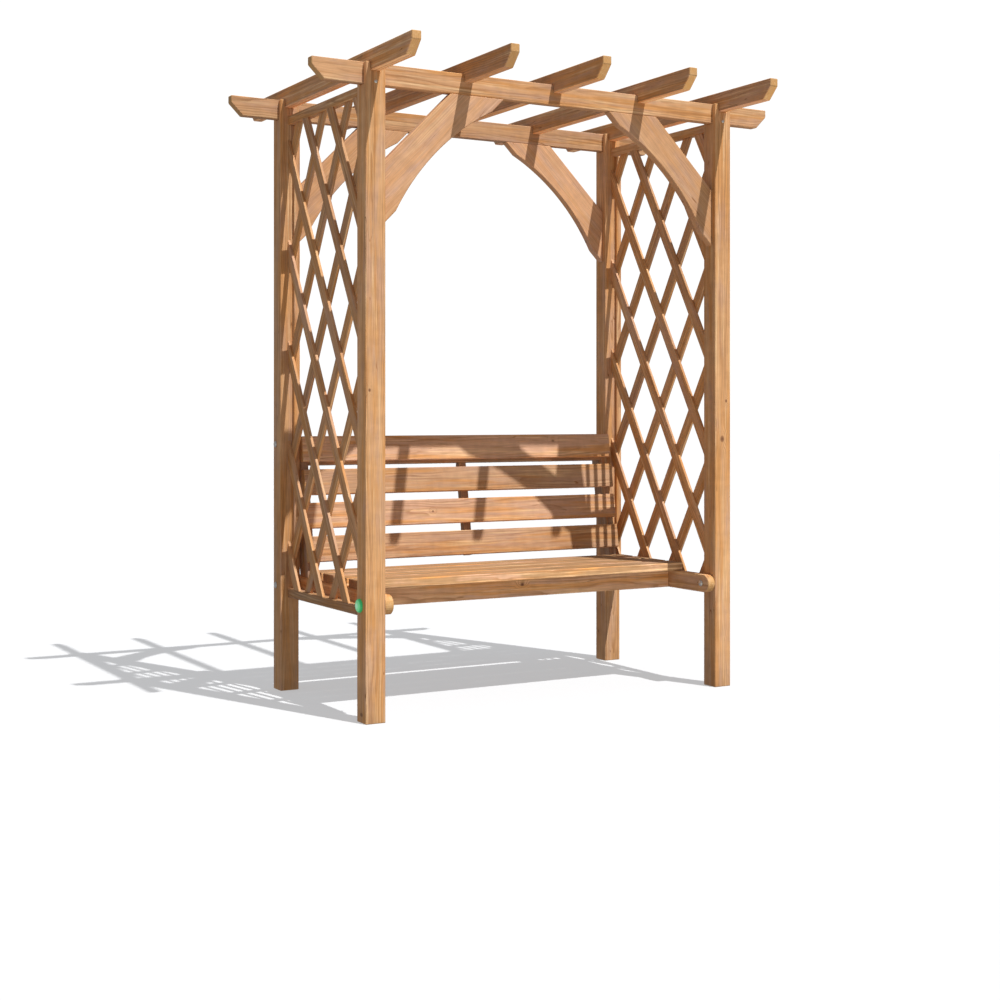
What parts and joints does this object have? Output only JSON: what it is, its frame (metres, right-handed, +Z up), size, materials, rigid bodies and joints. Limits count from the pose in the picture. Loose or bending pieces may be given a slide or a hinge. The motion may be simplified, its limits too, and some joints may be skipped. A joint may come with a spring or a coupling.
{
  "type": "pergola bench",
  "caption": "Free-standing slatted garden bench under an open timber pergola with curved braces, notched rafters and a diagonal trellis on each side.",
  "frame": {"origin": "on the ground, midway between the four posts", "axes": "+X along the bench, to the right of someone who looks at its front, +Y from the open front to the backrest, +Z up"},
  "size_m": [1.83, 1.41, 2.187],
  "materials": {
    "post_wood": "planed softwood, matt brown stain",
    "beam_wood": "planed softwood, matt brown stain",
    "rafter_wood": "planed softwood, matt brown stain",
    "brace_wood": "planed softwood, matt brown stain",
    "trellis_wood": "planed softwood, matt brown stain",
    "seat_wood": "planed softwood, matt brown stain",
    "back_wood": "planed softwood, matt brown stain",
    "zinc": "bright zinc plated",
    "green_plastic": "glossy green"
  },
  "bodies": {
    "root": {"back_bolt_left": "zinc", "back_bolt_right": "zinc", "back_rail_top": "back_wood", "back_slat_1": "back_wood", "back_slat_2": "back_wood", "back_slat_3": "back_wood", "back_slat_4": "back_wood", "back_upright_left": "back_wood", "back_upright_middle": "back_wood", "back_upright_right": "back_wood", "beam_back": "beam_wood", "beam_front": "beam_wood", "beam_screw_back_left": "zinc", "beam_screw_back_right": "zinc", "beam_screw_front_left": "zinc", "beam_screw_front_right": "zinc", "bolt_cap": "green_plastic", "brace_back_left": "brace_wood", "brace_back_right": "brace_wood", "brace_front_left": "brace_wood", "brace_front_right": "brace_wood", "post_back_left": "post_wood", "post_back_right": "post_wood", "post_front_left": "post_wood", "post_front_right": "post_wood", "rafter_1": "rafter_wood", "rafter_2": "rafter_wood", "rafter_3": "rafter_wood", "rafter_4": "rafter_wood", "rafter_5": "rafter_wood", "seat_bearer_left": "seat_wood", "seat_bearer_middle": "seat_wood", "seat_bearer_right": "seat_wood", "seat_bolt_back_left": "zinc", "seat_bolt_back_right": "zinc", "seat_bolt_front_left": "zinc", "seat_bolt_front_right": "zinc", "seat_rail_back": "seat_wood", "seat_rail_front": "seat_wood", "seat_slat_1": "seat_wood", "seat_slat_2": "seat_wood", "seat_slat_3": "seat_wood", "seat_slat_4": "seat_wood", "trellis_batten_back_left": "trellis_wood", "trellis_batten_back_right": "trellis_wood", "trellis_batten_front_left": "trellis_wood", "trellis_batten_front_right": "trellis_wood", "trellis_bottom_rail_left": "trellis_wood", "trellis_bottom_rail_right": "trellis_wood", "trellis_lattice_left": "trellis_wood", "trellis_lattice_right": "trellis_wood", "trellis_top_rail_left": "trellis_wood", "trellis_top_rail_right": "trellis_wood"}
  },
  "joints": []
}
